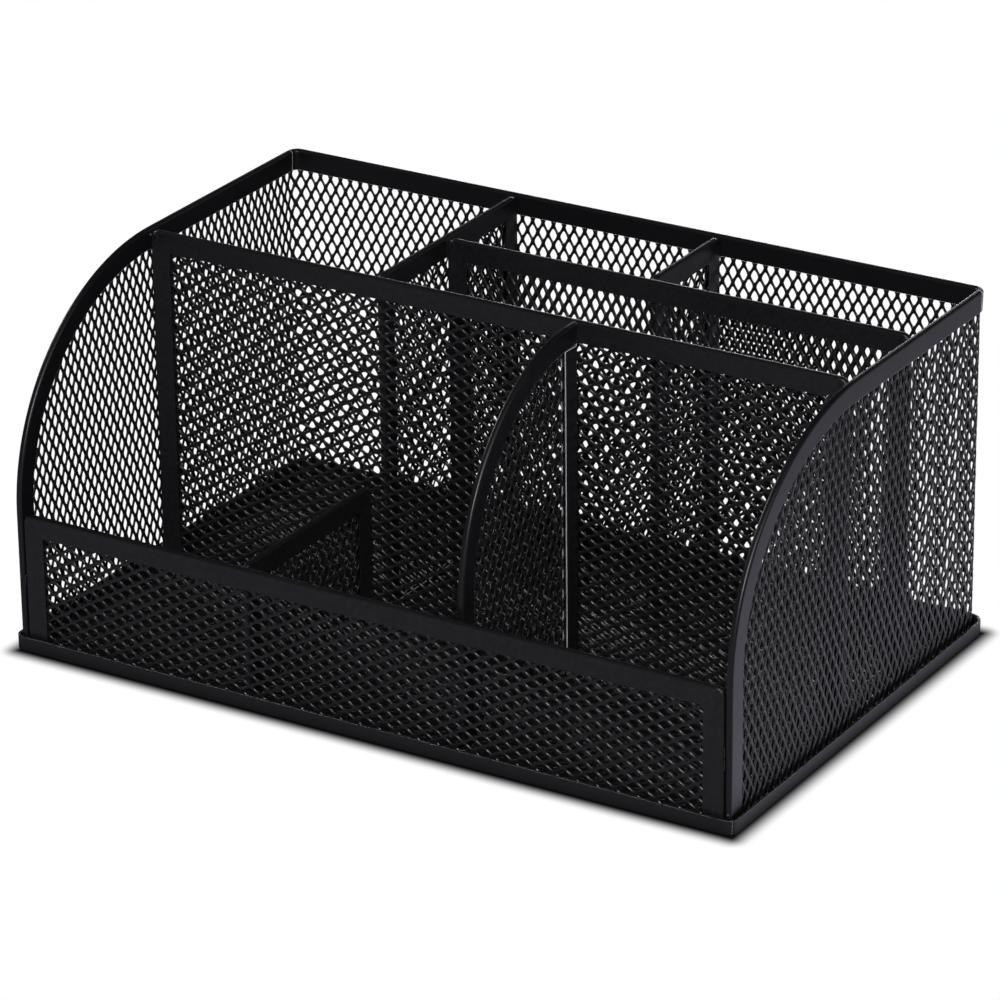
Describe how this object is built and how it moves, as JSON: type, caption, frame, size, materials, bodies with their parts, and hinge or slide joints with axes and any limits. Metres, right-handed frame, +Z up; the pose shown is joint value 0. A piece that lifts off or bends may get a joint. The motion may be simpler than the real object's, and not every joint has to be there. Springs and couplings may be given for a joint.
{
  "type": "desk organizer",
  "caption": "Low desktop organizer of strip-bound expanded steel mesh: quarter-round sides, low front panel, full-width middle wall and dividers forming open-top compartments.",
  "frame": {"origin": "under the middle of the organizer, on the surface it stands on", "axes": "+X along the front to the user's right, +Y towards the back wall, +Z up"},
  "size_m": [0.22, 0.14, 0.1],
  "materials": {
    "expanded_mesh": "black powder coat, satin, on expanded steel mesh",
    "folded_strip": "black powder coat, satin, fine orange peel",
    "base_frame": "black powder coat, satin, fine orange peel"
  },
  "bodies": {
    "root": {"base_rim_front": "base_frame", "base_rim_right": "base_frame", "base_rim_back": "base_frame", "base_rim_left": "base_frame", "floor_mesh": "expanded_mesh", "left_side_mesh": "expanded_mesh", "left_side_rim": "folded_strip", "right_side_mesh": "expanded_mesh", "right_side_rim": "folded_strip", "back_mesh": "expanded_mesh", "back_rim": "folded_strip", "front_panel_mesh": "expanded_mesh", "front_panel_top_strip": "folded_strip", "front_panel_left_strip": "folded_strip", "front_panel_right_strip": "folded_strip", "mid_wall_mesh": "expanded_mesh", "mid_wall_top_strip": "folded_strip", "mid_wall_left_strip": "folded_strip", "mid_wall_right_strip": "folded_strip", "slot_wall_mesh": "expanded_mesh", "slot_wall_top_strip": "folded_strip", "slot_wall_left_strip": "folded_strip", "slot_wall_right_strip": "folded_strip", "rear_divider_mesh": "expanded_mesh", "rear_divider_top_strip": "folded_strip", "rear_divider_front_strip": "folded_strip", "rear_divider_back_strip": "folded_strip", "rear_divider_bottom_strip": "folded_strip", "small_divider_mesh": "expanded_mesh", "small_divider_top_strip": "folded_strip", "small_divider_front_strip": "folded_strip", "small_divider_back_strip": "folded_strip", "curved_divider_mesh": "expanded_mesh", "curved_divider_rim": "folded_strip", "curved_divider_back_strip": "folded_strip", "low_divider_mesh": "expanded_mesh", "low_divider_top_strip": "folded_strip", "low_divider_front_strip": "folded_strip", "low_divider_back_strip": "folded_strip"}
  },
  "joints": []
}
